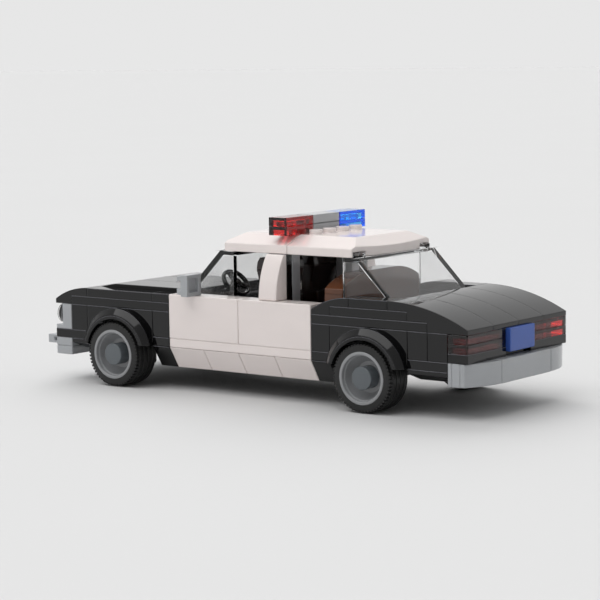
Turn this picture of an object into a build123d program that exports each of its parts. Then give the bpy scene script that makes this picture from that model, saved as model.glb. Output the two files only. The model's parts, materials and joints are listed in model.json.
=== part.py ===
from build123d import *
import os
from math import cos, radians, sin, sqrt

# Brick-built toy police car. Millimetres, X forward, Y to the left, Z up, ground at z = 0.
# Along X and Y places are counted in studs from the seam between the front and rear doors,
# and in height by plate levels above the underside of the axle bearers.

# Brick system
PITCH = 8.0  # from stud to stud
PLATE = 3.2  # height of a plate
HALF = PLATE / 2  # bracket flange and the lip of a slope
PLAY = 0.1  # each piece stays this far inside its grid cell
STUD_R = 2.4
STUD_H = 1.7
TUBE_R = 3.25
WALL = 1.45  # side wall of a hollow plate
TOP_SKIN = 1.2  # roof of a hollow plate
SEAM = 0.1  # half the height of the groove where two stacked pieces of one lamp meet

# Car
SIDE_STUDS = 4  # body half width
INNER_STUDS = 3  # half width between the wheels and of the cabin
DOOR_STUDS = 4  # doors reach this far each way from their seam
ARCH_STUDS = 2  # an arch panel reaches this far each way from its axle
GLASS_STUDS = 3  # length of a window
NEAR_STUDS = DOOR_STUDS + 1  # end of an arch panel next to the doors
AXLE_STUDS = NEAR_STUDS + ARCH_STUDS  # axles in front of and behind the door seam
FAR_STUDS = AXLE_STUDS + ARCH_STUDS  # end of an arch panel next to the bumper
LAMP_STUDS = FAR_STUDS + 1  # back of the lamp blocks
NOSE_STUDS = LAMP_STUDS + 1  # front of the hood and bumper, and end of the floor each way
TAIL_STUDS = -NOSE_STUDS - 1  # back of the trunk lip
SCREEN_STUDS = DOOR_STUDS - GLASS_STUDS  # upright edge of the windscreen
ROOF_STUDS = (SCREEN_STUDS - NEAR_STUDS) / 2  # seam of the roof's halves
TRUNK_STUDS = 1 - FAR_STUDS  # front of the trunk
CAP_STUDS = -NEAR_STUDS - 1  # thick end of the slopes behind the rear doors

# Wheels
TYRE_R = 12.0
TYRE_WIDE = 12.0
TYRE_INNER_Y = 24.0
SIDEWALL = 2.9  # from the rim to the tread
SHOULDER = 0.9  # bevel between sidewall and tread
RIM_R = TYRE_R - SIDEWALL
RIM_LIP = 1.1  # width of the rim's flat outer lip
RIM_PROUD = 0.2  # rim past the tyre's sidewall
RIM_INSET = 0.6  # rim inside the tyre's inner sidewall
AXLE_R = 2.35
AXLE_ARM = 1.8
BORE_R = 2.45
BORE_HEIGHT = 5.6  # axle above the underside of its bearer
HUB_DEPTH = 5.2
CAP_R = 4.0
CAP_EDGE = 1.6  # flat of the hub round its cap
AXLE_Z = TYRE_R
BODY_BOTTOM = AXLE_Z - BORE_HEIGHT

# Wheel arches
ARCH_R = TYRE_R + 1.0
FLARE_RIM_R = ARCH_R + 1.2
FLARE_ROOT_R = ARCH_R + 3.0
FLARE_OUT = 4.0

# Front
GUARD_REACH = 8.0  # bumper guards stand out in front of the bumper
GUARD_WIDE = 4.0
GUARD_END = 3.0  # thickness of a guard's upright end
PRONG = 0.9  # thickness of the two prongs that carry it
LAMP_R = 3.8
LAMP_DEPTH = 2.8
LAMP_EDGE = 0.6  # bevel round a lamp's front
VALANCE_DROP = 2.9  # fall of the slopes between bumper and wheel, below their lip
GRILLE_BARS = 9
GRILLE_BAR = 1.6  # width of a bar
GRILLE_DEPTH = 2.0

# Mirrors
MIRROR_X = DOOR_STUDS * PITCH - 12.4
MIRROR_Y = 28.2
MIRROR_HOLE = 4.8
CLIP_R = 3.4
CLIP_BORE = 1.6
CLIP_REACH = 1.8

# Windows and roof
GLASS = 1.6
GLASS_SIDE = 2.0  # side panes
GLASS_TOP = 6.4  # depth of the flat strip on top of a window
ROOF_EDGE = 3.0  # height of the roof's rim
ROOF_FLAT_HALF = 2  # half width of the flat top in studs
ROOF_FLAT_STUDS = 3  # its length from the seam
ROOF_CORNER = (SCREEN_STUDS - ROOF_STUDS) * PITCH + PITCH / 2  # end of the roof's straight sides
ROOF_BOW = 1.6  # the middle of the roof's end stands out this far
ROOF_SKIN = 1.6
NOTCH_HALF = 3.3  # half width of the notch over a window's stud

# Seats
HEADREST_HALF = 9.0
NECK = 4.4

# Steering wheel
STEER_R = 5.25
STEER_TUBE = 0.85
STEER_TILT = 50.0
STEER_X = DOOR_STUDS * PITCH - 15.8
STEER_LEVEL = 10
COLUMN = 4.4
COLUMN_R = 1.2
SPOKES = 3

# Hood
HOOD_RISE = 1.3
HOOD_BEVEL = 7.0

REAR_REACH = NOSE_STUDS * PITCH + HALF + PLATE + 2 * PLATE
FRONT_REACH = NOSE_STUDS * PITCH + GUARD_REACH
CENTRE_SHIFT = (REAR_REACH - FRONT_REACH) / 2  # puts the origin under the middle of the length


def stud(n):
    """Place of a grid line along X or Y."""
    return n * PITCH


def level(n):
    """Height of a plate level."""
    return BODY_BOTTOM + n * PLATE


def box(x, y, z):
    """Block between pairs of coordinates."""
    size = [abs(b - a) for a, b in (x, y, z)]
    middle = [(a + b) / 2 for a, b in (x, y, z)]
    return Pos(*middle) * Box(*size)


def brick(x, y, z):
    """Block given in studs and plate levels, with the play of a real brick at its sides."""
    sides = [(stud(a) + PLAY, stud(b) - PLAY) for a, b in (sorted(x), sorted(y))]
    return box(*sides, (level(z[0]), level(z[1])))


def along_y(points, y):
    """Prism of an X-Z outline between two values of Y."""
    place = Plane(origin=(0, max(y), 0), x_dir=(1, 0, 0), z_dir=(0, -1, 0))
    return extrude(place * make_face(Polyline(*points, close=True)), max(y) - min(y))


def along_x(points, x):
    """Prism of a Y-Z outline between two values of X."""
    place = Plane(origin=(min(x), 0, 0), x_dir=(0, 1, 0), z_dir=(1, 0, 0))
    return extrude(place * make_face(Polyline(*points, close=True)), max(x) - min(x))


def across(radius, length, x, y, z):
    """Round bar along Y from y to y + length."""
    return Pos(x, y + length / 2, z) * Rot(90, 0, 0) * Cylinder(radius, length)


def both_sides(*shapes):
    """The pieces of the left side and their mirror images on the right."""
    return [*shapes, *(shape.mirror(Plane.XZ) for shape in shapes)]


def knob(x, y, z):
    """Stud standing on a face at height z."""
    return Pos(x, y, z + STUD_H / 2) * Cylinder(STUD_R, STUD_H)


def curved_slope(place, width, length=2 * PITCH, height=2 * PLATE, steps=1):
    """Slope whose top falls in one arc to a half-plate lip, its base stepped up at the thick end.

    place: x runs from the thick end to the lip, y from the base up, and the normal along the width.
    """
    drop = height - HALF
    radius = (length**2 + drop**2) / (2 * drop)

    def top(run):
        return height - radius + sqrt(radius**2 - run**2)

    thick, lip = PLAY, length - PLAY
    base = [(lip, 0.0)]
    for n in range(steps, 0, -1):
        base += [(n * PITCH, (steps - n) * PLATE), (n * PITCH, (steps - n + 1) * PLATE)]
    base += [(thick, steps * PLATE)]
    arc = ThreePointArc((thick, top(thick)), (length / 2, top(length / 2)), (lip, top(lip)))
    edges = [Line((lip, top(lip)), base[0])]
    edges += [Line(a, b) for a, b in zip(base, base[1:])]
    edges += [Line(base[-1], (thick, top(thick))), arc]
    face = make_face(edges)
    return extrude(place * Pos(0, 0, PLAY) * face, width - 2 * PLAY)


def cheese_slope(place, width):
    """Flat slope one stud deep and two plates high with a half-plate lip, placed like a curved slope."""
    deep = PITCH - PLAY
    points = [(PLAY, 0), (deep, 0), (deep, HALF), (PLAY, 2 * PLATE)]
    face = make_face(Polyline(*points, close=True))
    return extrude(place * Pos(0, 0, PLAY) * face, width - 2 * PLAY)


def write(name, *shapes):
    """Write the solids of one node, moved so that the origin is under the middle of the car."""
    solids = [Pos(CENTRE_SHIFT, 0, 0) * solid for shape in shapes for solid in shape.solids()]
    export_step(Compound(solids), f"parts/{name}.step")


def hollow_plate(x, y, z):
    """Plate with an open underside."""
    body = brick(x, y, z)
    inside = PLAY + WALL
    sides = [(stud(a) + inside, stud(b) - inside) for a, b in (sorted(x), sorted(y))]
    return body - box(*sides, (level(z[0]), level(z[1]) - TOP_SKIN))


def floor():
    """Floor from nose to tail between the wheels, plates beside it, and the bearers below."""
    spans = ((-NOSE_STUDS, -DOOR_STUDS), (-DOOR_STUDS, DOOR_STUDS), (DOOR_STUDS, NOSE_STUDS))
    plates = [hollow_plate(span, (-INNER_STUDS, INNER_STUDS), (3, 4)) for span in spans]
    tube_depth = PLATE - TOP_SKIN
    tube = Cylinder(TUBE_R, tube_depth) - Cylinder(STUD_R, tube_depth)
    for place in GridLocations(2 * PITCH, 2 * PITCH, 2, 2):
        plates[1] += Pos(0, 0, level(3) + tube_depth / 2) * place * tube
    write("floor_plates", *plates)

    outer = (INNER_STUDS, SIDE_STUDS)
    write("stripe_plates", *both_sides(brick((-DOOR_STUDS, DOOR_STUDS), outer, (3, 4))))
    near, far = (DOOR_STUDS, NEAR_STUDS), (FAR_STUDS, NOSE_STUDS)
    spans = (far, near, (-NEAR_STUDS, -DOOR_STUDS), (-NOSE_STUDS, -FAR_STUDS))
    write("side_plates", *both_sides(*(brick(span, outer, (3, 4)) for span in spans)))

    bearers = []
    for x in (AXLE_STUDS, -AXLE_STUDS):
        bearer = brick((x - 1, x + 1), (2, 3), (0, 3))
        bearer -= across(BORE_R, PITCH, stud(x), stud(2), AXLE_Z)
        bearers.append(bearer)
    write("axle_bearers", *both_sides(*bearers))


def sills():
    """Slopes turned on their side along both sills, on bent brackets under the floor."""
    plane_y = stud(INNER_STUDS) + HALF
    low = level(3) - PITCH
    bracket = [
        (stud(2), level(3)),
        (plane_y, level(3)),
        (plane_y, low),
        (stud(INNER_STUDS), low),
        (stud(INNER_STUDS), level(3) - HALF),
        (stud(2), level(3) - HALF),
    ]
    write("sill_brackets", *both_sides(along_x(bracket, (stud(-NEAR_STUDS) + PLAY, stud(NEAR_STUDS) - PLAY))))

    def piece(start, studs):
        place = Plane(origin=(stud(start), plane_y, level(3)), x_dir=(0, 0, -1), z_dir=(1, 0, 0))
        return cheese_slope(place, stud(studs))

    write("sill_slopes_white", *both_sides(*(piece(start, 2) for start in range(-DOOR_STUDS, DOOR_STUDS, 2))))
    write("sill_slopes_black", *both_sides(piece(DOOR_STUDS, 1), piece(-DOOR_STUDS - 1, 1)))

    lip = level(3) - HALF
    outline = [
        (stud(2), level(3)),
        (stud(SIDE_STUDS) - PLAY, level(3)),
        (stud(SIDE_STUDS) - PLAY, lip),
        (stud(INNER_STUDS), lip - VALANCE_DROP),
        (stud(2), lip - VALANCE_DROP),
    ]
    spans = ((FAR_STUDS, LAMP_STUDS), (-NOSE_STUDS, -FAR_STUDS))
    slopes = [along_x(outline, (stud(a) + PLAY, stud(b) - PLAY)) for a, b in spans]
    write("valance_slopes", *both_sides(*slopes))


def front():
    """Bumper, guards, lamps and grille."""
    wide = (-SIDE_STUDS, SIDE_STUDS)
    write("front_bumper_lower", brick((LAMP_STUDS, NOSE_STUDS), wide, (1, 2)))
    write("front_bumper_upper", brick((LAMP_STUDS, NOSE_STUDS), wide, (2, 3)))

    face = stud(NOSE_STUDS) - PLAY
    guard_y = (stud(INNER_STUDS), stud(INNER_STUDS) + GUARD_WIDE)
    guard_x = stud(NOSE_STUDS) + GUARD_REACH
    guard = box((guard_x - GUARD_END, guard_x), guard_y, (level(2), level(3)))
    for z in (level(2), level(3) - PRONG):
        guard += box((face, guard_x), guard_y, (z, z + PRONG))
    write("bumper_guards", *both_sides(guard))

    seat_x = face - PLATE
    lamp_z = (level(4) + HALF + level(7)) / 2
    block = brick((LAMP_STUDS, NOSE_STUDS), (2, SIDE_STUDS), (4, 7))
    block -= box((seat_x, face), (stud(2), stud(SIDE_STUDS)), (level(4) + HALF, level(7)))
    lamps = []
    for y in (2.5, 3.5):
        lens = Pos(seat_x + LAMP_DEPTH / 2, stud(y), lamp_z) * Rot(0, 90, 0) * Cylinder(LAMP_R, LAMP_DEPTH)
        lamps.append(chamfer(lens.edges().sort_by(Axis.X)[-1], LAMP_EDGE))
    write("headlamp_blocks", *both_sides(block))
    write("headlamps", *both_sides(*lamps))

    grille = brick((LAMP_STUDS, NOSE_STUDS), (-2, 2), (4, 7))
    gaps = GRILLE_BARS - 1
    step = (2 * (stud(2) - PLAY) - GRILLE_BAR) / gaps
    opening = Box(GRILLE_DEPTH, step - GRILLE_BAR, level(7) - level(4) - 2 * HALF)
    middle_z = (level(4) + level(7)) / 2
    for place in GridLocations(1, step, 1, gaps):
        grille -= Pos(face - GRILLE_DEPTH / 2, 0, middle_z) * place * opening
    write("grille", grille)


def arches():
    """Panels with a round wheel opening and a flared rim."""
    made = []
    for x in (stud(AXLE_STUDS), stud(-AXLE_STUDS)):
        panel = box(
            (x - stud(ARCH_STUDS) + PLAY, x + stud(ARCH_STUDS) - PLAY),
            (stud(INNER_STUDS) + PLAY, stud(SIDE_STUDS) - PLAY),
            (level(3), level(7)),
        )
        flare = Pos(x, stud(SIDE_STUDS) - PLAY + FLARE_OUT / 2, AXLE_Z) * Rot(-90, 0, 0)
        rim = flare * Cone(FLARE_ROOT_R - PLAY, FLARE_RIM_R, FLARE_OUT)
        below = (AXLE_Z - stud(3), level(3))
        rim -= box((x - stud(3), x + stud(3)), (stud(3), stud(6)), below)
        made.append(panel + rim - across(ARCH_R, stud(3), x, stud(2), AXLE_Z))
    write("wheel_arches", *both_sides(*made))


def sides():
    """Fender panels and tiles, doors, pillars and mirrors."""
    outer = (INNER_STUDS, SIDE_STUDS)
    spans = (
        (FAR_STUDS, LAMP_STUDS),
        (DOOR_STUDS, NEAR_STUDS),
        (-NEAR_STUDS, -DOOR_STUDS),
        (-LAMP_STUDS, -FAR_STUDS),
        (-NOSE_STUDS, -LAMP_STUDS),
    )
    write("fender_panels", *both_sides(*(brick(span, outer, (4, 7)) for span in spans)))

    inner = (2, INNER_STUDS)
    spans = ((DOOR_STUDS, LAMP_STUDS), (-LAMP_STUDS, -NEAR_STUDS))
    walls = both_sides(*(brick(span, inner, (4, 7)) for span in spans))
    core = brick((-NOSE_STUDS, -LAMP_STUDS), (-INNER_STUDS, INNER_STUDS), (4, 7))
    write("inner_walls", *walls, core)

    tiles = [brick(span, outer, (8, 9)) for span in ((DOOR_STUDS, NEAR_STUDS), (NEAR_STUDS, FAR_STUDS))]
    write("fender_tiles", *both_sides(*tiles))

    tile_y = stud(SIDE_STUDS) - PLATE
    length = (stud(-DOOR_STUDS) + PLAY, stud(DOOR_STUDS) - PLAY)
    backing = box(length, (stud(INNER_STUDS) + PLAY, tile_y), (level(4), level(9)))
    write("door_backings", *both_sides(backing))
    doors = [
        box((stud(a) + PLAY, stud(b) - PLAY), (tile_y, stud(SIDE_STUDS)), (level(4), level(9)))
        for a, b in ((0, DOOR_STUDS), (-DOOR_STUDS, 0))
    ]
    write("door_tiles", *both_sides(*doors))

    pillar = (stud(-2) + PLAY, stud(-1) - PLAY)
    plate_y = stud(INNER_STUDS) - PLATE
    tall = (level(4), level(14))
    write("b_pillar_posts", *both_sides(box(pillar, (stud(2) + PLAY, plate_y), tall)))
    write("b_pillar_plates", *both_sides(box(pillar, (plate_y, stud(INNER_STUDS)), tall)))
    place = Plane(origin=(stud(-1), stud(INNER_STUDS), level(9)), x_dir=(0, 0, 1), z_dir=(-1, 0, 0))
    write("b_pillar_covers", *both_sides(curved_slope(place, PITCH, length=level(14) - level(9), steps=0)))

    wide = (MIRROR_Y + PLAY, MIRROR_Y + PITCH - PLAY)
    middle_y, middle_z = MIRROR_Y + PITCH / 2, level(9) + PITCH / 2
    front_x = MIRROR_X + PLATE
    plate = box((MIRROR_X, front_x), wide, (level(9), level(9) + PITCH - 2 * PLAY))
    plate -= Pos(MIRROR_X, middle_y, middle_z) * Box(PLATE, MIRROR_HOLE, MIRROR_HOLE)
    bar_x = front_x + CLIP_BORE / 3
    clip = across(CLIP_R, wide[1] - wide[0], bar_x, wide[0], middle_z)
    clip -= across(CLIP_BORE, PITCH, bar_x, MIRROR_Y, middle_z)
    arms = box((front_x, front_x + CLIP_REACH), wide, (middle_z - CLIP_R, middle_z + CLIP_R))
    write("mirrors", *both_sides(plate + (clip & arms)))


def hood():
    """Front deck, curved nose and the raised hood panels."""
    write("front_deck", brick((DOOR_STUDS, LAMP_STUDS), (-SIDE_STUDS, SIDE_STUDS), (7, 8)))
    write("cowl_deck", brick((SCREEN_STUDS, DOOR_STUDS), (-INNER_STUDS, INNER_STUDS), (7, 8)))

    strips = []
    for y in range(-SIDE_STUDS, SIDE_STUDS, 2):
        place = Plane(origin=(stud(FAR_STUDS), stud(y + 2), level(7)), x_dir=(1, 0, 0), z_dir=(0, -1, 0))
        strips.append(curved_slope(place, stud(2)))
    write("hood_nose", *strips)

    top = level(9) + HOOD_RISE
    front_x = stud(FAR_STUDS) - PLAY
    outline = [
        (stud(DOOR_STUDS) + PLAY, level(8)),
        (front_x, level(8)),
        (front_x, level(9)),
        (front_x - HOOD_BEVEL, top),
        (stud(DOOR_STUDS) + PLAY, top),
    ]
    rows = [(stud(y) + PLAY, stud(y + 2) - PLAY) for y in range(-INNER_STUDS, INNER_STUDS, 2)]
    write("hood_panels", *(along_y(outline, row) for row in rows))


def glass(turn):
    """Window with sloped pane, side panes and a flat strip with two studs on top.

    turn maps a distance from the window's upright edge to X.
    """
    half = stud(INNER_STUDS) - PLAY
    low, high = level(8), level(14)
    foot = stud(GLASS_STUDS) - PLAY
    fall = (foot - GLASS_TOP) / (high - low - HALF)
    slant = sqrt(1 + fall**2)
    inner_foot = foot + HALF * fall - GLASS * slant
    inner_top = GLASS_TOP - GLASS * (slant - fall)
    outline = [(0, low), (foot, low), (foot, low + HALF), (GLASS_TOP, high), (0, high)]
    hollow = [(-1, low), (inner_foot, low), (inner_top, high - GLASS), (-1, high - GLASS)]
    pane = along_y([(turn(run), z) for run, z in outline], (-half, half))
    inside = half - GLASS_SIDE
    pane -= along_y([(turn(run), z) for run, z in hollow], (-inside, inside))
    for y in (-2.5, 2.5):
        pane += knob(turn(PITCH / 2), stud(y), high)
    return pane


def roof_half(turn):
    """Half of the roof, its end bowed in plan and its top falling to a rim."""
    low, rim, top = level(14), level(14) + ROOF_EDGE, level(16)
    half = stud(INNER_STUDS)

    def plan(inset, height):
        end = ROOF_CORNER - inset
        side = half - inset
        edges = [
            Line((turn(PLAY + inset), -side), (turn(end), -side)),
            ThreePointArc((turn(end), -side), (turn(end + ROOF_BOW), 0), (turn(end), side)),
            Line((turn(end), side), (turn(PLAY + inset), side)),
            Line((turn(PLAY + inset), side), (turn(PLAY + inset), -side)),
        ]
        return extrude(Pos(0, 0, low) * make_face(edges), height)

    def shape(inset):
        reach = ROOF_CORNER + ROOF_BOW
        run = [(turn(0), low), (turn(reach), low), (turn(reach), rim - inset)]
        run += [(turn(stud(ROOF_FLAT_STUDS)), top - inset), (turn(0), top - inset)]
        cross = [(-half, low), (half, low), (half, rim - inset), (stud(ROOF_FLAT_HALF), top - inset)]
        cross += [(-stud(ROOF_FLAT_HALF), top - inset), (-half, rim - inset)]
        ends = sorted((turn(-1), turn(reach + 1)))
        return plan(inset, top - low) & along_y(run, (-half, half)) & along_x(cross, ends)

    made = shape(0.0) - shape(ROOF_SKIN)
    for y in (-2.5, 2.5):
        notch_x = (turn(ROOF_CORNER - NOTCH_HALF), turn(ROOF_CORNER + stud(1)))
        made -= box(notch_x, (stud(y) - NOTCH_HALF, stud(y) + NOTCH_HALF), (low, low + STUD_H + PLAY))
    for y in (-1.5, -0.5, 0.5, 1.5):
        made += knob(turn(PITCH / 2), stud(y), top)
    return made


def cabin():
    """Windows, roof, light bar, seats and steering wheel."""
    middle = stud(ROOF_STUDS)

    def ahead(distance):
        return middle + distance

    def behind(distance):
        return middle - distance

    write("windscreen", glass(lambda run: stud(SCREEN_STUDS) + run))
    write("rear_window", glass(lambda run: stud(-NEAR_STUDS) - run))
    write("roof_front", roof_half(ahead))
    write("roof_rear", roof_half(behind))

    # Light bar: name, right and left end in studs
    for name, right, left in (("red", 1, 3), ("grey", -1, 1), ("blue", -3, -1)):
        bar = hollow_plate((-2, -1), (right, left), (16, 17)) + brick((-2, -1), (right, left), (17, 18))
        seam = (level(17) - SEAM, level(17) + SEAM)
        slice_x, slice_y = (stud(-2), stud(-1)), (stud(right), stud(left))
        core = [(a + PLAY + 2 * SEAM, b - PLAY - 2 * SEAM) for a, b in (slice_x, slice_y)]
        write(f"bar_{name}", bar - (box(slice_x, slice_y, seam) - box(*core, seam)))

    back_x, middle_x = stud(-1) + PLAY, stud(-0.5)
    seat = [
        (back_x, level(4)),
        (stud(1), level(4)),
        (stud(1), level(6)),
        (0.0, level(6)),
        (0.0, level(9)),
        (back_x, level(9)),
    ]
    headrest = [
        (middle_x - NECK / 2, level(9)),
        (middle_x + NECK / 2, level(9)),
        (middle_x + NECK / 2, level(10)),
        (0.0, level(12)),
        (back_x, level(12)),
        (middle_x - NECK / 2, level(10)),
    ]
    seat_y = stud(1.5)
    made = along_y(seat, (seat_y - stud(1) + PLAY, seat_y + stud(1) - PLAY))
    made += along_y(headrest, (seat_y - HEADREST_HALF, seat_y + HEADREST_HALF))
    write("front_seats", *both_sides(made))

    back_x, front_x = stud(-NEAR_STUDS) + PLAY, stud(-DOOR_STUDS)
    side = stud(INNER_STUDS) - PLAY
    bench = box((back_x, front_x + stud(1.75)), (stud(-2) + PLAY, stud(2) - PLAY), (level(4), level(7)))
    bench += box((back_x, front_x - PLAY), (-side, side), (level(4), level(10)))
    bench += box((back_x, front_x - PLAY), (stud(-1), stud(1)), (level(10), level(12)))
    place = Plane(origin=(stud(-NEAR_STUDS), stud(1) - PLAY, level(10)), x_dir=(0, 1, 0), z_dir=(1, 0, 0))
    for end in both_sides(curved_slope(place, PITCH, steps=0)):
        bench += end
    groove = (level(10) - SEAM, level(10) + SEAM)
    bench -= box((front_x - 2 * PLAY, front_x), (-side, side), groove)
    write("rear_bench", bench)

    steer_z = level(STEER_LEVEL)
    pivot = Pos(STEER_X, stud(1.5), steer_z) * Rot(0, -STEER_TILT, 0)
    section = Plane.XZ * Pos(STEER_R, 0) * RegularPolygon(STEER_TUBE, 6)
    wheel = revolve(section, Axis.Z) + Cylinder(2 * STEER_TUBE, 2 * STEER_TUBE)
    for place in PolarLocations(0, SPOKES):
        wheel += place * Pos(STEER_R / 2, 0, 0) * Box(STEER_R, 2 * STEER_TUBE, STEER_TUBE)
    wheel += Pos(0, 0, -COLUMN / 2) * Cylinder(COLUMN_R, COLUMN)
    foot = box((STEER_X, stud(DOOR_STUDS - 1)), (stud(1) + PLAY, stud(2) - PLAY), (level(8), level(8) + HALF))
    stalk_x = STEER_X + COLUMN * sin(radians(STEER_TILT))
    stalk_top = steer_z - (COLUMN - STEER_TUBE) * cos(radians(STEER_TILT))
    stalk_y = (stud(1.5) - COLUMN_R, stud(1.5) + COLUMN_R)
    stalk = box((stalk_x - COLUMN_R, stalk_x + COLUMN_R), stalk_y, (level(8), stalk_top))
    write("steering_wheel", pivot * wheel + foot + stalk)


def rear():
    """Rear deck, trunk, lamps, number plate and bumper."""
    outer = (INNER_STUDS, SIDE_STUDS)
    wide = (-SIDE_STUDS, SIDE_STUDS)
    ledge = (stud(INNER_STUDS) + PLAY, stud(SIDE_STUDS) - PLAY)
    lower = brick((-LAMP_STUDS, -NEAR_STUDS), wide, (7, 8))
    wing_x = (stud(CAP_STUDS), stud(-DOOR_STUDS) - PLAY)
    for wing in both_sides(box(wing_x, ledge, (level(7), level(8)))):
        lower += wing
    write("rear_deck_lower", lower)
    upper = brick((-FAR_STUDS, TRUNK_STUDS), wide, (8, 9))
    wing_x = (stud(TRUNK_STUDS) - PLATE, stud(-NEAR_STUDS) - PLAY)
    for wing in both_sides(box(wing_x, ledge, (level(8), level(9)))):
        upper += wing
    write("rear_deck_upper", upper)

    place = Plane(origin=(stud(CAP_STUDS), stud(SIDE_STUDS), level(8)), x_dir=(1, 0, 0), z_dir=(0, -1, 0))
    write("rear_cap_slopes", *both_sides(curved_slope(place, PITCH)))
    write("rear_fender_tiles", *both_sides(brick((TRUNK_STUDS, CAP_STUDS), outer, (9, 10))))

    strips = []
    length = stud(TRUNK_STUDS - TAIL_STUDS)
    for y in range(-SIDE_STUDS, SIDE_STUDS, 2):
        place = Plane(origin=(stud(TRUNK_STUDS), stud(y), level(7)), x_dir=(-1, 0, 0), z_dir=(0, 1, 0))
        strips.append(curved_slope(place, stud(2), length=length, height=3 * PLATE, steps=2))
    write("trunk_slopes", *strips)

    lamp = (1, SIDE_STUDS)
    write("tail_lights_lower", *both_sides(brick((TAIL_STUDS, -NOSE_STUDS), lamp, (5, 6))))
    write("tail_lights_upper", *both_sides(brick((TAIL_STUDS, -NOSE_STUDS), lamp, (6, 7))))

    sign_x = stud(TAIL_STUDS) + HALF
    across_y = (stud(-1) + PLAY, stud(1) - PLAY)
    holder = box((sign_x, stud(-NOSE_STUDS)), across_y, (level(4), level(7)))
    write("tail_plates", *both_sides(brick((TAIL_STUDS, -NOSE_STUDS), lamp, (4, 5))), holder)
    write("number_plate", box((sign_x - PLATE, sign_x), across_y, (level(7) - PITCH, level(7))))

    low, high = level(4) - PITCH, level(4)
    reach = stud(SIDE_STUDS) - PLAY
    bracket_x = stud(-NOSE_STUDS) - HALF
    plate_x = bracket_x - PLATE
    write("bumper_bracket", box((bracket_x, stud(-NOSE_STUDS)), (-reach, reach), (low, high)))
    write("bumper_plate", box((plate_x, bracket_x), (-reach, reach), (low, high)))
    middle = box((plate_x - 2 * PLATE, plate_x), (stud(-2) + PLAY, stud(2) - PLAY), (low, high))
    place = Plane(origin=(plate_x, stud(2), low), x_dir=(0, 1, 0), z_dir=(0, 0, 1))
    write("bumper_slopes", middle, *both_sides(curved_slope(place, PITCH, steps=0)))


def spun(points):
    """Solid of revolution about Y from an outline of (radius, y)."""
    face = make_face(Polyline(*points, close=True))
    return revolve(face, Axis.Y)


def axle_set(name, x):
    """Cross axle with two rims, tyres and hub caps."""
    outer_y = TYRE_INNER_Y + TYRE_WIDE
    face_y = outer_y + RIM_PROUD
    hub_y = face_y - HUB_DEPTH
    arm = 2 * AXLE_R
    long = 2 * hub_y
    cross = Box(arm, long, AXLE_ARM) + Box(AXLE_ARM, long, arm)
    cross &= Rot(90, 0, 0) * Cylinder(AXLE_R, long)
    place = Pos(x, 0, AXLE_Z)
    write(f"{name}_axle", place * cross)

    inner_y = TYRE_INNER_Y + RIM_INSET
    rim = spun(
        [
            (AXLE_R, inner_y),
            (RIM_R, inner_y),
            (RIM_R, face_y),
            (RIM_R - RIM_LIP, face_y),
            (CAP_R + CAP_EDGE, hub_y),
            (AXLE_R, hub_y),
        ]
    )
    write(f"{name}_rims", *(place * side for side in both_sides(rim)))

    tyre = spun(
        [
            (RIM_R, TYRE_INNER_Y),
            (TYRE_R, TYRE_INNER_Y),
            (TYRE_R, outer_y - SHOULDER),
            (TYRE_R - SHOULDER / 2, outer_y),
            (RIM_R, outer_y),
        ]
    )
    for side, shape in zip(("left", "right"), both_sides(tyre)):
        write(f"{name}_tyre_{side}", place * shape)

    cap = across(CAP_R, face_y - hub_y - RIM_PROUD, 0, hub_y, 0)
    write(f"{name}_hub_caps", *(place * side for side in both_sides(cap)))


os.makedirs("parts", exist_ok=True)
floor()
sills()
front()
arches()
sides()
hood()
cabin()
rear()
axle_set("front", stud(AXLE_STUDS))
axle_set("rear", stud(-AXLE_STUDS))
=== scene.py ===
"""Looks of a brick-built toy police car: moulded plastic, clear lamps and windows, wheels and a stage."""

import json
import math

import bmesh
import bpy
from bpy.props import FloatProperty, FloatVectorProperty, IntProperty, PointerProperty
from mathutils import Matrix, Vector
from mathutils.geometry import tessellate_polygon


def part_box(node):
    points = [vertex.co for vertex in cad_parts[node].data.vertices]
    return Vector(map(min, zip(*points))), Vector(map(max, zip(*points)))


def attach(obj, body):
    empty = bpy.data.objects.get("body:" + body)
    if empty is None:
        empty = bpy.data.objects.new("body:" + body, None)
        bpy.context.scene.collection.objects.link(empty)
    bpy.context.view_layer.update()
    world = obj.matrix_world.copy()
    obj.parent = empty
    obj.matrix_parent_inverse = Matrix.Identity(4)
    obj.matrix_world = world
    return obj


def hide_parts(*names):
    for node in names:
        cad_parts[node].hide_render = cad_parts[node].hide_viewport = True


bl_info = {
    "name": "Brick patrol car",
    "version": (1, 0, 0),
    "blender": (4, 5, 0),
    "location": "View3D > Sidebar > Patrol car",
    "description": "Dresses the frame of a brick-built toy patrol car and sets its stage",
    "category": "Object",
}

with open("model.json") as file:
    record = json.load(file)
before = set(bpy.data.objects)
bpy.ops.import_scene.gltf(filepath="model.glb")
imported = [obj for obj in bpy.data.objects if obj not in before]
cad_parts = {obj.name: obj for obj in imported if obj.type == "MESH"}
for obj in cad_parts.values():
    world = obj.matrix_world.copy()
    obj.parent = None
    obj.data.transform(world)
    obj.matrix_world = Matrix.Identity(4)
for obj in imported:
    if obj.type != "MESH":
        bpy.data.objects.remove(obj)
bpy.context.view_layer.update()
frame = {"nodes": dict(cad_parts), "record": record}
SLOT_OF = {row["node"]: row["material_slot"] for row in frame["record"]["subparts"]}
# Black nodes on top of the car, where no pale seams show, so they get no painted highlight along their upper
# edges
TOPS = ("trunk_slopes", "hood_panels", "hood_nose")
MM = 0.001
PLATE = 3.2 * MM  # height of a plate
PITCH = 8.0 * MM  # from stud to stud
PLAY = 0.1 * MM  # at each side of a piece
WELD = 0.001 * MM  # corners closer than this are joined
FLAT_ANGLE = math.radians(0.4)  # facets that differ by less are one face
EDGE_ANGLE = math.radians(28.0)  # edges sharper than this are rounded
SMOOTH_ANGLE = math.radians(30.0)  # edges of a new mesh that are blunter are smooth


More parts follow.
